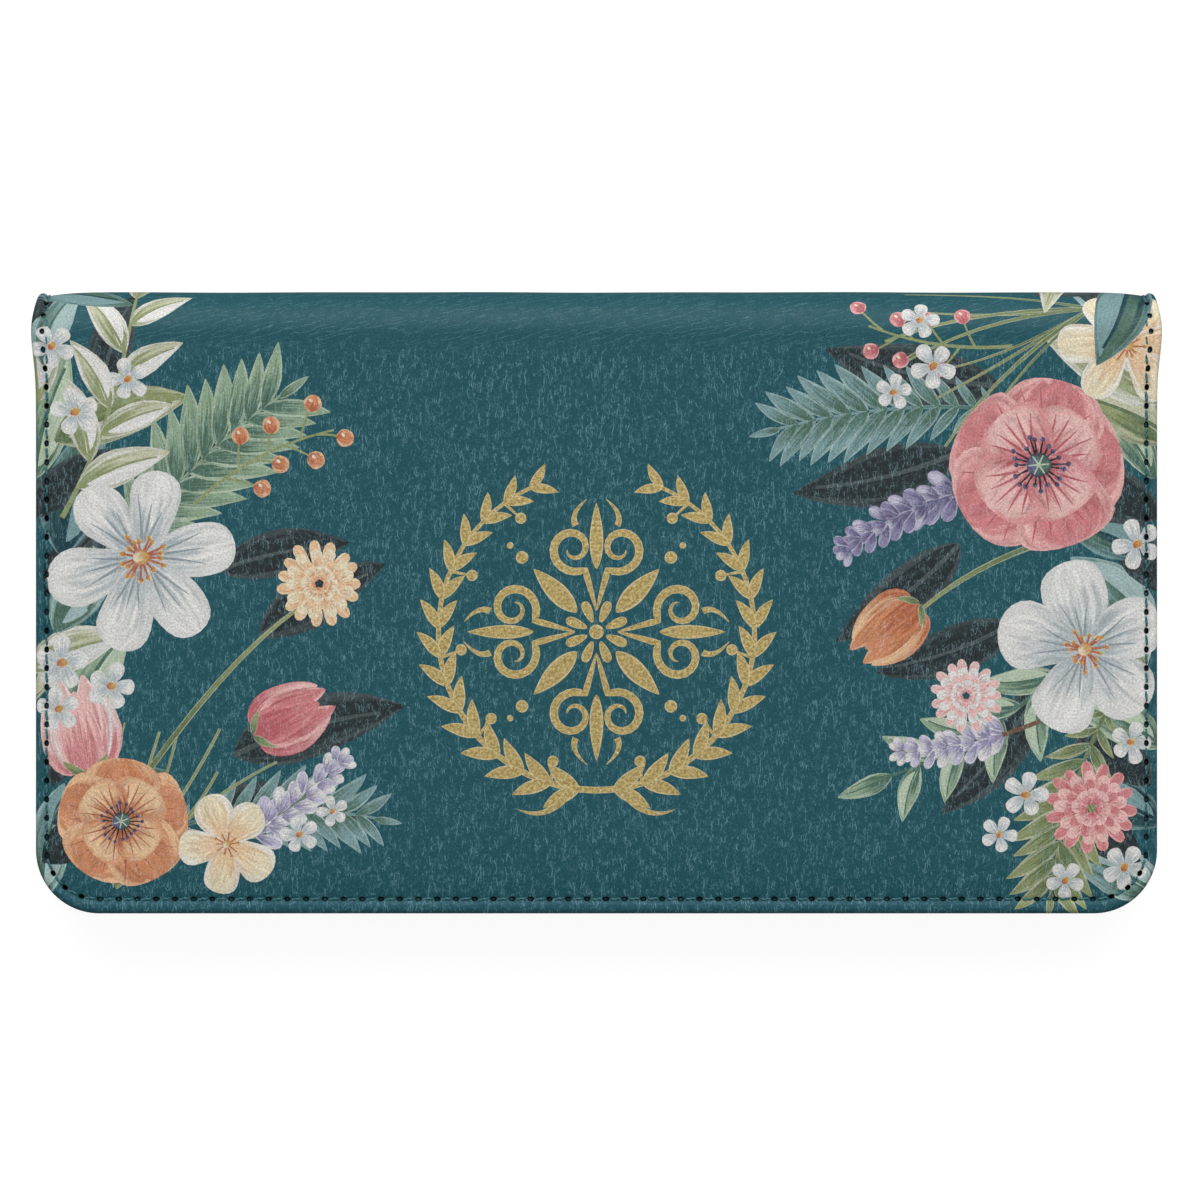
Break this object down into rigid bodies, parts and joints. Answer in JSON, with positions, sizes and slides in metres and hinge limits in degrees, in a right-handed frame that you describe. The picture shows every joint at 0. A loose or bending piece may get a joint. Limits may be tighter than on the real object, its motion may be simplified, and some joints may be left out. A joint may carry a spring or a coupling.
{
  "type": "checkbook cover",
  "caption": "Bifold checkbook cover in printed artificial leather with an edge seam, pockets, card slots, a window and a clear divider.",
  "frame": {"origin": "on the back panel's outer face, under the middle of the closed cover", "axes": "+X along the fold, +Y towards the fold, +Z from the back panel up to the front panel"},
  "size_m": [0.17, 0.0944, 0.0132],
  "materials": {
    "outer_leather": "satin",
    "lining": "matte",
    "pocket_leather": "satin",
    "thread": "matte",
    "foam": "matte",
    "board": "matte",
    "clear_vinyl": "gloss"
  },
  "bodies": {
    "back_cover": {"outer_back": "outer_leather", "back_foam": "foam", "back_board": "board", "back_lining": "lining", "check_pocket": "pocket_leather", "check_pocket_stitching": "thread", "divider_binding": "pocket_leather", "divider_binding_stitching": "thread", "back_edge_stitching": "thread"},
    "divider": {"divider_sheet": "clear_vinyl"},
    "spine": {"outer_spine": "outer_leather", "spine_foam": "foam", "spine_lining": "lining", "spine_edge_stitching": "thread"},
    "front_cover": {"outer_front": "outer_leather", "front_foam": "foam", "front_board": "board", "front_lining": "lining", "register_pocket": "pocket_leather", "register_pocket_stitching": "thread", "card_slot_upper": "pocket_leather", "card_slot_middle": "pocket_leather", "window_slot": "pocket_leather", "window_film": "clear_vinyl", "card_slot_stitching": "thread", "window_stitching": "thread", "front_edge_stitching": "thread"}
  },
  "joints": [
    {"name": "spine_fold", "type": "hinge", "parent": "back_cover", "child": "spine", "pos_m": [0, 0.04532, 0.00193], "axis": [-1, 0, 0], "range_deg": [0, 90]},
    {"name": "front_fold", "type": "hinge", "parent": "spine", "child": "front_cover", "pos_m": [0, 0.04532, 0.01127], "axis": [-1, 0, 0], "range_deg": [0, 90]},
    {"name": "divider_turn", "type": "hinge", "parent": "back_cover", "child": "divider", "pos_m": [0, 0.03087, 0.00347], "axis": [-1, 0, 0], "range_deg": [0, 90]}
  ],
  "couplings": [
    {"joint": "front_fold", "follows": "spine_fold", "ratio": 1},
    {"joint": "divider_turn", "follows": "spine_fold", "ratio": 1}
  ]
}
